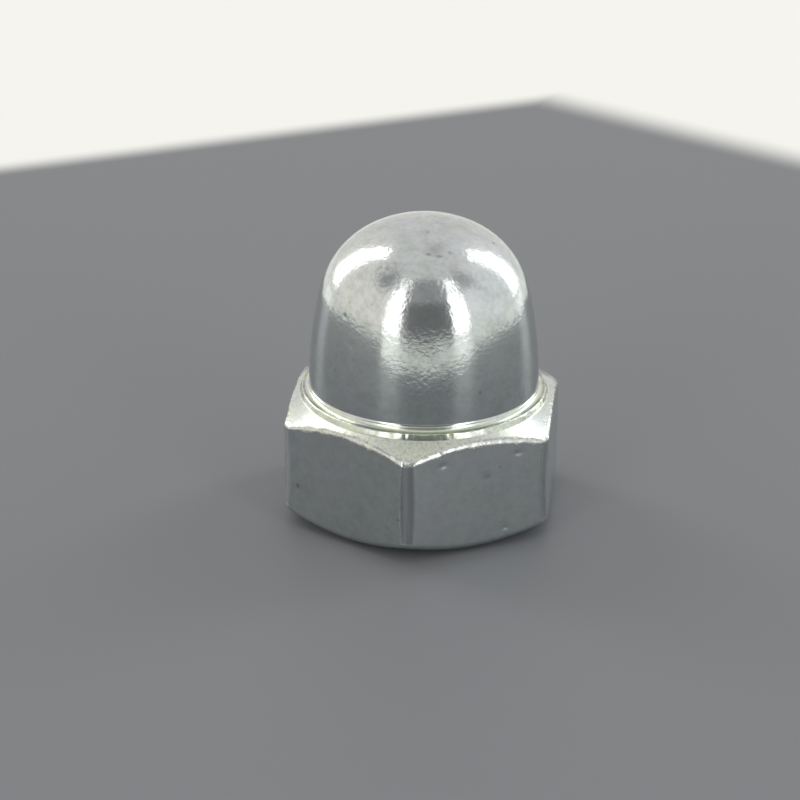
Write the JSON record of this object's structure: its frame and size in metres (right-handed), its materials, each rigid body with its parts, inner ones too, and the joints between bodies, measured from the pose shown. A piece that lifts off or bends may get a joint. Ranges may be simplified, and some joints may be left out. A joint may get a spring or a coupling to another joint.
{
  "type": "cap nut",
  "caption": "Hexagon cap nut with a low round collar, a smooth closed dome and a blind threaded bore, for covering the end of a bolt.",
  "frame": {"origin": "centre of the bearing face, on the thread's axis", "axes": "+Z along the thread's axis, from the bearing face to the crown; two corners of the hexagon lie on Y and two flats are square to X"},
  "size_m": [0.013, 0.0146, 0.015],
  "materials": {
    "zinc_plate": "bright zinc plate, satin, lightly scuffed"
  },
  "bodies": {
    "root": {"cap_nut": "zinc_plate"}
  },
  "joints": []
}
